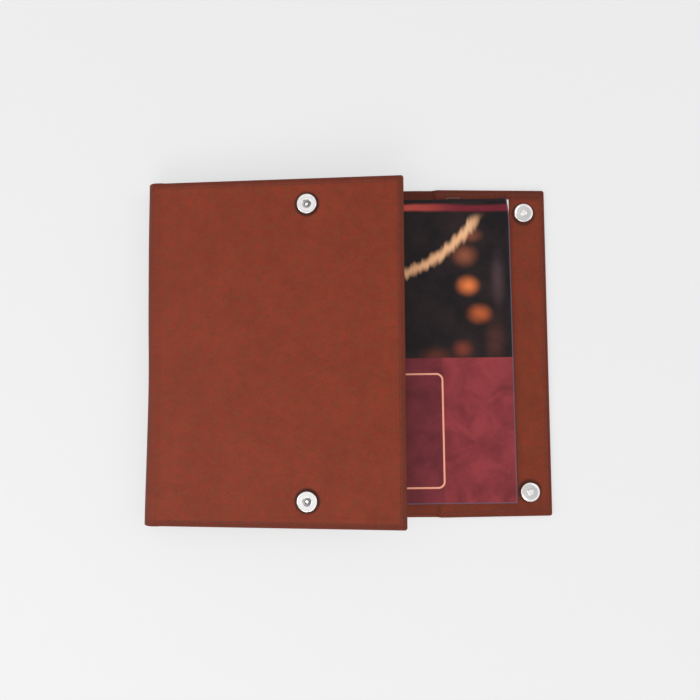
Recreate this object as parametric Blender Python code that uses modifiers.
"""Leather notebook cover: two stiff leather-wrapped covers on a soft rounded spine, with a
closing flap on a soft gusset, two magnetic snaps, and the booklet that it holds.

Units are metres. +X runs from the spine to the free edge of the open flap, +Y along the
spine, and +Z up from the surface that the back cover and the flap rest on. The origin is
the centre of the footprint. Every hinge line runs along Y, inside the bending leather.

Each cover is a stack of layers, counted here as depth from its outer leather face.
"""

import math

import bmesh
import bpy
from mathutils import Vector

MM = 0.001

# Covers and flap
HEIGHT = 322.5 * MM                  # along the spine
FRONT_WIDTH = 232.2 * MM
FLAP_WIDTH = 111.4 * MM
FLAP_TIP_HEIGHT = 319.5 * MM         # the flap narrows a little to its free edge
CORNER_RADIUS = 2.5 * MM
SHUT_THICKNESS = 23.6 * MM           # outer face to outer face, with the front pressed shut
AJAR_ANGLE = math.radians(4.0)       # the front cover's lift when nothing holds it shut

# Layers of a cover, from the outer face inwards
GAP = 0.3 * MM
LEATHER = 1.0 * MM
BOARD = 1.5 * MM
INFILL = 1.0 * MM                    # card that fills the space between the turned-in edges
LINING = 0.7 * MM
TURN_IN = 10.0 * MM                  # width of the leather folded over the board's edge
LINING_INSET = 3.5 * MM
STITCH_INSET = 5.5 * MM
THREAD_RADIUS = 0.3 * MM

# Soft strips
STRIP_LINING = 1.0 * MM
BEND_GAP = 1.5 * MM                  # from a hinge line that bends square to the solids beside it
LIP_GAP = 0.8 * MM                   # from the front cover's own hinge line, which hardly bends
SPINE_LIP = 10.85 * MM               # soft strip between the spine and the front cover
GUSSET_STRIP = 29.4 * MM             # its length sets the closed flap's height
GUSSET_OUTSET = 1.4 * MM             # its hinge line lies this far past the front's free edge

# Magnetic snaps
SNAP_EDGE_DISTANCE = 89.8 * MM       # socket centre to the front cover's free edge
SNAP_HALF_SPACING = 136.5 * MM
SOCKET_RADIUS = 9.25 * MM
SOCKET_HOLE_RADIUS = 4.0 * MM
SOCKET_HEIGHT = 1.3 * MM
STUD_RADIUS = 9.1 * MM
STUD_HEIGHT = 0.9 * MM
POST_RADIUS = 3.0 * MM
POST_HEIGHT = 0.9 * MM
SHEET_METAL = 0.4 * MM
SHANK_RADIUS = 1.5 * MM
RIVET_HEAD_RADIUS = 2.0 * MM
RIVET_HEAD_HEIGHT = 0.5 * MM
WASHER_RADIUS = 6.0 * MM
WASHER = 0.6 * MM
ROUND_STEPS = 32

# Document pocket on the inside of the front cover
POCKET_WIDTH = 92.0 * MM
POCKET_SHEET = 0.7 * MM
POCKET_ROOM = 0.5 * MM
POCKET_SEAM = 4.0 * MM

# A4 booklet, bound along its +Y edge, lying askew under the front cover and over the flap
BOOKLET_LENGTH = 210.0 * MM
BOOKLET_HEIGHT = 297.0 * MM
BOOKLET_THICKNESS = 3.0 * MM
BOOKLET_EDGE_X = 340.9 * MM          # its free end, from the front cover's hinge line
BOOKLET_SHIFT_Y = 2.0 * MM
BOOKLET_TURN = math.radians(0.36)
PAPER_COVER = 0.4 * MM
PAGE_SHOW = 1.8 * MM                 # the pages stand out of their cover by this much
STAPLE_RADIUS = 0.3 * MM
STAPLE_WIDTH = 12.0 * MM
STAPLE_LEG = 5.0 * MM
STAPLE_FROM_END = 55.0 * MM

# Depths of the layers
BOARD_DEPTH = LEATHER + GAP
INFILL_DEPTH = BOARD_DEPTH + BOARD + GAP
LINING_DEPTH = INFILL_DEPTH + INFILL + GAP
INNER_FACE = LINING_DEPTH + LINING
AXIS_DEPTH = (LEATHER + GAP + STRIP_LINING) / 2

SPINE_HEIGHT = SHUT_THICKNESS - 2 * AXIS_DEPTH

# Places along X, measured first from the front cover's hinge line
FRONT_EDGE_X = LIP_GAP + FRONT_WIDTH
GUSSET_X = FRONT_EDGE_X + GUSSET_OUTSET
FLAP_X = GUSSET_X + GUSSET_STRIP
FLAP_EDGE_X = FLAP_X + BEND_GAP + FLAP_WIDTH
SPINE_X = -SPINE_LIP
CENTRE_X = (SPINE_X - AXIS_DEPTH + FLAP_EDGE_X) / 2
SOCKET_X = FRONT_EDGE_X - SNAP_EDGE_DISTANCE
STUD_X = GUSSET_X - SOCKET_X         # from the flap's hinge line, so that stud meets socket

HOLE_RADIUS = SHANK_RADIUS + GAP
SNAP_SIDES = (("upper", SNAP_HALF_SPACING), ("lower", -SNAP_HALF_SPACING))
CUTTER_MARGIN = 2.0 * MM

INNER_UP = 1                         # the inner face looks along the pivot's +Z
OUTER_UP = -1                        # the outer face does


# Scene and materials

def clear_scene():
    for obj in list(bpy.data.objects):
        bpy.data.objects.remove(obj, do_unlink=True)


def new_collection(name):
    collection = bpy.data.collections.new(name)
    bpy.context.scene.collection.children.link(collection)
    return collection


def new_material(name, colour, roughness, metallic=0.0):
    material = bpy.data.materials.new(name)
    material.use_nodes = True
    shader = material.node_tree.nodes["Principled BSDF"]
    shader.inputs["Base Color"].default_value = (*colour, 1.0)
    shader.inputs["Roughness"].default_value = roughness
    shader.inputs["Metallic"].default_value = metallic
    material.diffuse_color = (*colour, 1.0)
    return material


clear_scene()
PARTS = new_collection("leather_notebook_cover")
CUTTERS = new_collection("cutters")

OUTER_HIDE = new_material("outer_leather", (0.235, 0.042, 0.023), 0.50)
LINING_HIDE = new_material("lining_leather", (0.180, 0.031, 0.017), 0.60)
GREY_BOARD = new_material("grey_board", (0.36, 0.33, 0.29), 0.90)
THREAD = new_material("thread", (0.155, 0.026, 0.014), 0.70)
NICKEL = new_material("nickel_plate", (0.76, 0.74, 0.70), 0.22, 1.0)
MAGNET = new_material("magnet", (0.12, 0.12, 0.12), 0.55, 0.3)
PRINTED_PAPER = new_material("printed_paper", (0.060, 0.012, 0.014), 0.35)
PAGE_PAPER = new_material("page_paper", (0.74, 0.73, 0.70), 0.80)
STAPLE_WIRE = new_material("staple_wire", (0.62, 0.62, 0.62), 0.35, 1.0)


# Helpers

def place(name, data, pivot, material, location=(0, 0, 0), rotation=(0, 0, 0), collection=PARTS):
    obj = bpy.data.objects.new(name, data)
    collection.objects.link(obj)
    obj.parent = pivot
    obj.location = location
    obj.rotation_euler = rotation
    if material:
        data.materials.append(material)
    return obj


def new_pivot(name, x, z, angle=0.0, y=0.0, turn=0.0):
    """Empty on a hinge line; angle lifts its +X towards +Z, turn swings it towards +Y."""
    pivot = bpy.data.objects.new(name, None)
    PARTS.objects.link(pivot)
    pivot.location = (x - CENTRE_X, y, z)
    pivot.rotation_euler = (0, -angle, turn)
    return pivot


def block_mesh(name, x_range, half_heights, z_range, round_corners=()):
    """Plate between two X, as high at each end as half_heights says, with round corners."""
    bm = bmesh.new()
    bmesh.ops.create_cube(bm, size=2.0)
    for vert in bm.verts:
        end = 1 if vert.co.x > 0 else 0
        side = 1 if vert.co.z > 0 else 0
        vert.co = Vector((x_range[end], math.copysign(half_heights[end], vert.co.y), z_range[side]))
    corners = [edge for edge in bm.edges
               if abs(edge.verts[0].co.z - edge.verts[1].co.z) > 1e-9
               and abs(edge.verts[0].co.y - edge.verts[1].co.y) < 1e-9
               and any(abs(edge.verts[0].co.x - x_range[end]) < 1e-9 for end in round_corners)]
    if corners:
        bmesh.ops.bevel(bm, geom=corners, offset=CORNER_RADIUS, segments=3, profile=0.5,
                        affect="EDGES")
    mesh = bpy.data.meshes.new(name)
    bm.to_mesh(mesh)
    bm.free()
    return mesh


def tube_mesh(name, outer, z_range, inner=0.0):
    """Disc, or ring where inner is over zero, made round by a Screw modifier."""
    low, high = sorted(z_range)
    profile = [(inner, high), (outer, high), (outer, low), (inner, low)]
    return profile_mesh(name, profile, closed=inner > 0)


def profile_mesh(name, profile, closed):
    mesh = bpy.data.meshes.new(name)
    points = [(radius, 0.0, z) for radius, z in profile]
    edges = [(i, i + 1) for i in range(len(points) - 1)]
    if closed:
        edges.append((len(points) - 1, 0))
    mesh.from_pydata(points, edges, [])
    return mesh


def turned(name, mesh, pivot, material, location, collection=PARTS):
    obj = place(name, mesh, pivot, material, location, collection=collection)
    screw = obj.modifiers.new("turn", "SCREW")
    screw.angle = math.tau
    screw.steps = ROUND_STEPS
    screw.render_steps = ROUND_STEPS
    screw.use_merge_vertices = True
    screw.merge_threshold = 0.00001
    screw.use_smooth_shade = True
    return obj


def hide_cutter(obj):
    obj.hide_render = True
    obj.display_type = "WIRE"
    return obj


def cut(target, cutter):
    boolean = target.modifiers.new("cut_" + cutter.name, "BOOLEAN")
    boolean.operation = "DIFFERENCE"
    boolean.solver = "EXACT"
    boolean.object = cutter


def cut_round(target, pivot, x, y, z_range, radius):
    name = "%s_hole_%d" % (target.name, len(target.modifiers))
    mesh = tube_mesh(name, radius, z_range)
    cut(target, hide_cutter(turned(name, mesh, pivot, None, (x, y, 0), CUTTERS)))


def tube_path(name, pivot, material, path, radius):
    """Round tube along a list of points."""
    curve = bpy.data.curves.new(name, "CURVE")
    curve.dimensions = "3D"
    curve.bevel_depth = radius
    curve.bevel_resolution = 1
    curve.use_fill_caps = True
    spline = curve.splines.new("POLY")
    spline.points.add(len(path) - 1)
    for point, co in zip(spline.points, path):
        point.co = (*co, 1.0)
    return place(name, curve, pivot, material)


def depth_range(facing, start, thickness):
    """Heights over the hinge line of a layer that starts at a depth from the outer face."""
    ends = (facing * (start - AXIS_DEPTH), facing * (start + thickness - AXIS_DEPTH))
    return min(ends), max(ends)


# Covers

class Cover:
    """One stiff panel: its pivot, its ends along X, its half heights and its free ends."""

    def __init__(self, name, pivot, x_range, half_heights, facing, free_ends):
        self.name = name
        self.pivot = pivot
        self.x_range = x_range
        self.half_heights = half_heights
        self.facing = facing
        self.free_ends = free_ends

    def plate(self, layer, material, start, thickness, inset):
        """A layer set back by inset from the free edges and by GAP from the hinge ends."""
        mesh = self.inset_mesh(self.name + "_" + layer, inset, depth_range(self.facing, start, thickness))
        return place(self.name + "_" + layer, mesh, self.pivot, material)

    def inset_mesh(self, name, inset, z_range, hinge_reach=0.0, round_corners=True):
        x0 = self.x_range[0] + (inset if 0 in self.free_ends else -hinge_reach)
        x1 = self.x_range[1] - (inset if 1 in self.free_ends else -hinge_reach)
        halves = [half - inset for half in self.half_heights]
        return block_mesh(name, (x0, x1), halves, z_range, self.free_ends if round_corners else ())

    def outer_leather(self):
        """The outer skin, folded over the edges of the board and turned in."""
        shell = self.plate("outer_leather", OUTER_HIDE, 0.0, INFILL_DEPTH + INFILL, 0.0)
        room = depth_range(self.facing, LEATHER, INFILL_DEPTH - LEATHER)
        window = depth_range(self.facing, INFILL_DEPTH - GAP, INFILL + CUTTER_MARGIN)
        for kind, inset, z_range in (("room", LEATHER, room), ("window", TURN_IN, window)):
            name = "%s_%s" % (self.name, kind)
            mesh = self.inset_mesh(name, inset, z_range, CUTTER_MARGIN, round_corners=False)
            cut(shell, hide_cutter(place(name, mesh, self.pivot, None, collection=CUTTERS)))
        return shell

    def build(self):
        edge = LEATHER + GAP
        self.leather = self.outer_leather()
        self.board = self.plate("board", GREY_BOARD, BOARD_DEPTH, BOARD, edge)
        self.infill = self.plate("infill", GREY_BOARD, INFILL_DEPTH, INFILL, TURN_IN + GAP)
        self.lining = self.plate("lining", LINING_HIDE, LINING_DEPTH, LINING, LINING_INSET)

    def layer_hole(self, target, x, y, start, thickness, radius):
        z_range = depth_range(self.facing, start - CUTTER_MARGIN, thickness + 2 * CUTTER_MARGIN)
        cut_round(target, self.pivot, x, y, z_range, radius)


def stitch_loop(cover, height):
    """Seam just inside the edges, a U round the free end."""
    x0, x1 = (cover.x_range[0] + STITCH_INSET, cover.x_range[1] - STITCH_INSET)
    y0, y1 = (half - STITCH_INSET for half in cover.half_heights)
    upper = [(x0, y0, height)]
    for step in range(5):
        angle = math.radians(90 - 22.5 * step)
        upper.append((x1 - CORNER_RADIUS * (1 - math.cos(angle)),
                      y1 - CORNER_RADIUS * (1 - math.sin(angle)), height))
    return upper + [(x, -y, z) for x, y, z in reversed(upper)]


def build_strip(name, pivot, length, facing):
    """One soft strip: outer leather with its own lining, clear of both hinge lines."""
    x_range = (BEND_GAP, length - BEND_GAP)
    layers = (("leather", OUTER_HIDE, 0.0, LEATHER, 0.0),
              ("lining", LINING_HIDE, LEATHER + GAP, STRIP_LINING, LINING_INSET))
    for layer, material, start, thickness, inset in layers:
        node = "%s_%s" % (name, layer)
        half = HEIGHT / 2 - inset
        mesh = block_mesh(node, x_range, (half, half), depth_range(facing, start, thickness))
        place(node, mesh, pivot, material)


# Snaps

def build_socket(side, y, front):
    """Magnet under a drawn nickel cap, riveted through the leather and board to a washer."""
    face = AXIS_DEPTH
    base = face + GAP
    top = base + SOCKET_HEIGHT
    roof = top - SHEET_METAL
    hole = SOCKET_HOLE_RADIUS
    cap = [(hole, top), (SOCKET_RADIUS - SHEET_METAL, top), (SOCKET_RADIUS, roof), (SOCKET_RADIUS, base),
           (SOCKET_RADIUS - SHEET_METAL, base), (SOCKET_RADIUS - SHEET_METAL, roof),
           (hole + SHEET_METAL, roof), (hole + SHEET_METAL, base), (hole, base)]
    location = (SOCKET_X, y, 0)
    turned("socket_cap_" + side, profile_mesh("socket_cap", cap, True), front.pivot, NICKEL, location)
    ring = tube_mesh("socket_magnet", SOCKET_RADIUS - SHEET_METAL - GAP, (base, roof - GAP),
                     hole + SHEET_METAL + GAP)
    turned("socket_magnet_" + side, ring, front.pivot, MAGNET, location)
    washer_z = depth_range(front.facing, INFILL_DEPTH + (INFILL - WASHER) / 2, WASHER)
    head_top = base + RIVET_HEAD_HEIGHT
    rivet = [(0, head_top), (RIVET_HEAD_RADIUS, head_top), (RIVET_HEAD_RADIUS, base),
             (SHANK_RADIUS, base), (SHANK_RADIUS, washer_z[0]), (0, washer_z[0])]
    turned("socket_rivet_" + side, profile_mesh("socket_rivet", rivet, False), front.pivot, NICKEL,
           location)
    washer = tube_mesh("socket_washer", WASHER_RADIUS, washer_z, HOLE_RADIUS)
    turned("socket_washer_" + side, washer, front.pivot, NICKEL, location)
    front.layer_hole(front.leather, SOCKET_X, y, 0.0, LEATHER, HOLE_RADIUS)
    front.layer_hole(front.board, SOCKET_X, y, BOARD_DEPTH, BOARD, HOLE_RADIUS)
    front.layer_hole(front.infill, SOCKET_X, y, INFILL_DEPTH, INFILL, WASHER_RADIUS + GAP)


def build_stud(side, y, flap):
    """Rimmed nickel disc held to the flap's lining by a post whose shank ends in a washer."""
    base = INNER_FACE - AXIS_DEPTH + GAP
    rim_top = base + STUD_HEIGHT
    floor = rim_top - GAP
    rim = STUD_RADIUS - 2 * SHEET_METAL
    disc = [(HOLE_RADIUS, floor), (rim, floor), (rim + GAP, rim_top), (STUD_RADIUS, rim_top),
            (STUD_RADIUS, base), (HOLE_RADIUS, base)]
    location = (STUD_X, y, 0)
    turned("stud_disc_" + side, profile_mesh("stud_disc", disc, True), flap.pivot, NICKEL, location)
    washer_z = depth_range(flap.facing, INFILL_DEPTH + (INFILL - WASHER) / 2, WASHER)
    post_top = rim_top + POST_HEIGHT
    post = [(0, post_top), (POST_RADIUS - GAP, post_top), (POST_RADIUS, post_top - GAP),
            (POST_RADIUS, rim_top), (SHANK_RADIUS, rim_top), (SHANK_RADIUS, washer_z[0]),
            (0, washer_z[0])]
    turned("stud_post_" + side, profile_mesh("stud_post", post, False), flap.pivot, NICKEL, location)
    washer = tube_mesh("stud_washer", WASHER_RADIUS, washer_z, HOLE_RADIUS)
    turned("stud_washer_" + side, washer, flap.pivot, NICKEL, location)
    flap.layer_hole(flap.lining, STUD_X, y, LINING_DEPTH, LINING, HOLE_RADIUS)
    flap.layer_hole(flap.infill, STUD_X, y, INFILL_DEPTH, INFILL, WASHER_RADIUS + GAP)


# Pocket

def build_pocket(front):
    """Sleeve inside the front cover, sewn on three edges and open towards the spine."""
    x_range = (FRONT_EDGE_X - LINING_INSET - POCKET_WIDTH, FRONT_EDGE_X - LINING_INSET)
    half = HEIGHT / 2 - LINING_INSET
    top = AXIS_DEPTH - INNER_FACE - GAP
    bottom = top - POCKET_ROOM - POCKET_SHEET
    mesh = block_mesh("front_pocket", x_range, (half, half), (bottom, top), (1,))
    pocket = place("front_pocket", mesh, front.pivot, LINING_HIDE)
    room = block_mesh("pocket_room", (x_range[0] - CUTTER_MARGIN, x_range[1] - POCKET_SEAM),
                      (half - POCKET_SEAM, half - POCKET_SEAM),
                      (top - POCKET_ROOM, top + CUTTER_MARGIN))
    cut(pocket, hide_cutter(place("pocket_room", room, front.pivot, None, collection=CUTTERS)))


# Booklet

def booklet_cover_mesh(length, height, radius):
    """Sheet from the top face round the fold at +Y to the bottom face, without thickness."""
    free_y = PAGE_SHOW - height / 2
    fold_y = height / 2 - radius - PAPER_COVER / 2
    profile = [(free_y, radius)]
    for step in range(7):
        angle = math.radians(90 - 30 * step)
        profile.append((fold_y + radius * math.cos(angle), radius * math.sin(angle)))
    profile.append((free_y, -radius))
    bm = bmesh.new()
    verts = [bm.verts.new((-length / 2, y, z)) for y, z in profile]
    edges = [bm.edges.new(pair) for pair in zip(verts, verts[1:])]
    far = bmesh.ops.extrude_edge_only(bm, edges=edges)["geom"]
    bmesh.ops.translate(bm, vec=(length - PAGE_SHOW, 0, 0),
                        verts=[item for item in far if isinstance(item, bmesh.types.BMVert)])
    bmesh.ops.recalc_face_normals(bm, faces=bm.faces)
    mesh = bpy.data.meshes.new("booklet_cover")
    bm.to_mesh(mesh)
    bm.free()
    return mesh


def build_booklet(pivot):
    radius = (BOOKLET_THICKNESS - PAPER_COVER) / 2
    cover = place("booklet_cover", booklet_cover_mesh(BOOKLET_LENGTH, BOOKLET_HEIGHT, radius), pivot,
                  PRINTED_PAPER)
    solid = cover.modifiers.new("paper", "SOLIDIFY")
    solid.thickness = PAPER_COVER
    solid.offset = 0.0
    page_top = radius - PAPER_COVER / 2 - GAP
    fold_y = BOOKLET_HEIGHT / 2 - PAPER_COVER - GAP - (radius - page_top)
    bm = bmesh.new()
    bmesh.ops.create_cube(bm, size=1.0)
    bmesh.ops.scale(bm, vec=(BOOKLET_LENGTH, fold_y + BOOKLET_HEIGHT / 2, 2 * page_top), verts=bm.verts)
    bmesh.ops.translate(bm, vec=(0, (fold_y - BOOKLET_HEIGHT / 2) / 2, 0), verts=bm.verts)
    pages_mesh = bpy.data.meshes.new("booklet_pages")
    bm.to_mesh(pages_mesh)
    bm.free()
    pages = place("booklet_pages", pages_mesh, pivot, PAGE_PAPER)
    crown_y = BOOKLET_HEIGHT / 2 + GAP + STAPLE_RADIUS
    for side, centre in (("left", -1), ("right", 1)):
        x = centre * (BOOKLET_LENGTH / 2 - STAPLE_FROM_END)
        legs = (x - STAPLE_WIDTH / 2, x + STAPLE_WIDTH / 2)
        path = [(legs[0], crown_y - STAPLE_LEG, 0), (legs[0], crown_y, 0),
                (legs[1], crown_y, 0), (legs[1], crown_y - STAPLE_LEG, 0)]
        tube_path("staple_" + side, pivot, STAPLE_WIRE, path, STAPLE_RADIUS)
        for number, leg in enumerate(legs):
            name = "staple_%s_hole_%d" % (side, number)
            mesh = tube_mesh(name, STAPLE_RADIUS + GAP, (0, STAPLE_LEG + CUTTER_MARGIN))
            hole = turned(name, mesh, pivot, None, (leg, crown_y + CUTTER_MARGIN / 2, 0), CUTTERS)
            hole.rotation_euler = (math.radians(90), 0, 0)
            hide_cutter(hole)
            cut(cover, hole)
            cut(pages, hole)


# Assembly

def build_back():
    pivot = new_pivot("back_cover_pivot", SPINE_X, AXIS_DEPTH)
    half = HEIGHT / 2
    x_range = (BEND_GAP, GUSSET_X - SPINE_X - BEND_GAP)
    back = Cover("back", pivot, x_range, (half, half), INNER_UP, ())
    back.build()
    height = INNER_FACE - AXIS_DEPTH + GAP + THREAD_RADIUS
    ends = (x_range[0] + STITCH_INSET, x_range[1] - STITCH_INSET)
    for side, y in (("upper", half - STITCH_INSET), ("lower", STITCH_INSET - half)):
        run = [(x, y, height) for x in ends]
        tube_path("back_stitching_" + side, pivot, THREAD, run, THREAD_RADIUS)


def build_spine():
    pivot = new_pivot("spine_pivot", SPINE_X, AXIS_DEPTH, math.radians(90))
    build_strip("spine", pivot, SPINE_HEIGHT, OUTER_UP)
    pivot = new_pivot("spine_lip_pivot", SPINE_X, AXIS_DEPTH + SPINE_HEIGHT)
    build_strip("spine_lip", pivot, SPINE_LIP, OUTER_UP)


def build_front():
    pivot = new_pivot("front_cover_pivot", 0.0, AXIS_DEPTH + SPINE_HEIGHT, AJAR_ANGLE)
    half = HEIGHT / 2
    front = Cover("front", pivot, (LIP_GAP, FRONT_EDGE_X), (half, half), OUTER_UP, (1,))
    front.build()
    for side, y in SNAP_SIDES:
        build_socket(side, y, front)
    build_pocket(front)
    height = AXIS_DEPTH + GAP + THREAD_RADIUS
    tube_path("front_stitching", pivot, THREAD, stitch_loop(front, height), THREAD_RADIUS)


def build_gusset_and_flap():
    build_strip("gusset", new_pivot("gusset_pivot", GUSSET_X, AXIS_DEPTH), GUSSET_STRIP, INNER_UP)
    pivot = new_pivot("flap_pivot", FLAP_X, AXIS_DEPTH)
    halves = (HEIGHT / 2, FLAP_TIP_HEIGHT / 2)
    flap = Cover("flap", pivot, (BEND_GAP, BEND_GAP + FLAP_WIDTH), halves, INNER_UP, (1,))
    flap.build()
    for side, y in SNAP_SIDES:
        build_stud(side, y, flap)
    height = INNER_FACE - AXIS_DEPTH + GAP + THREAD_RADIUS
    tube_path("flap_stitching", pivot, THREAD, stitch_loop(flap, height), THREAD_RADIUS)


def build_contents():
    z = INNER_FACE + GAP + BOOKLET_THICKNESS / 2
    x = BOOKLET_EDGE_X - BOOKLET_LENGTH / 2
    build_booklet(new_pivot("booklet_pivot", x, z, y=BOOKLET_SHIFT_Y, turn=BOOKLET_TURN))


def main():
    build_back()
    build_spine()
    build_front()
    build_gusset_and_flap()
    build_contents()


main()
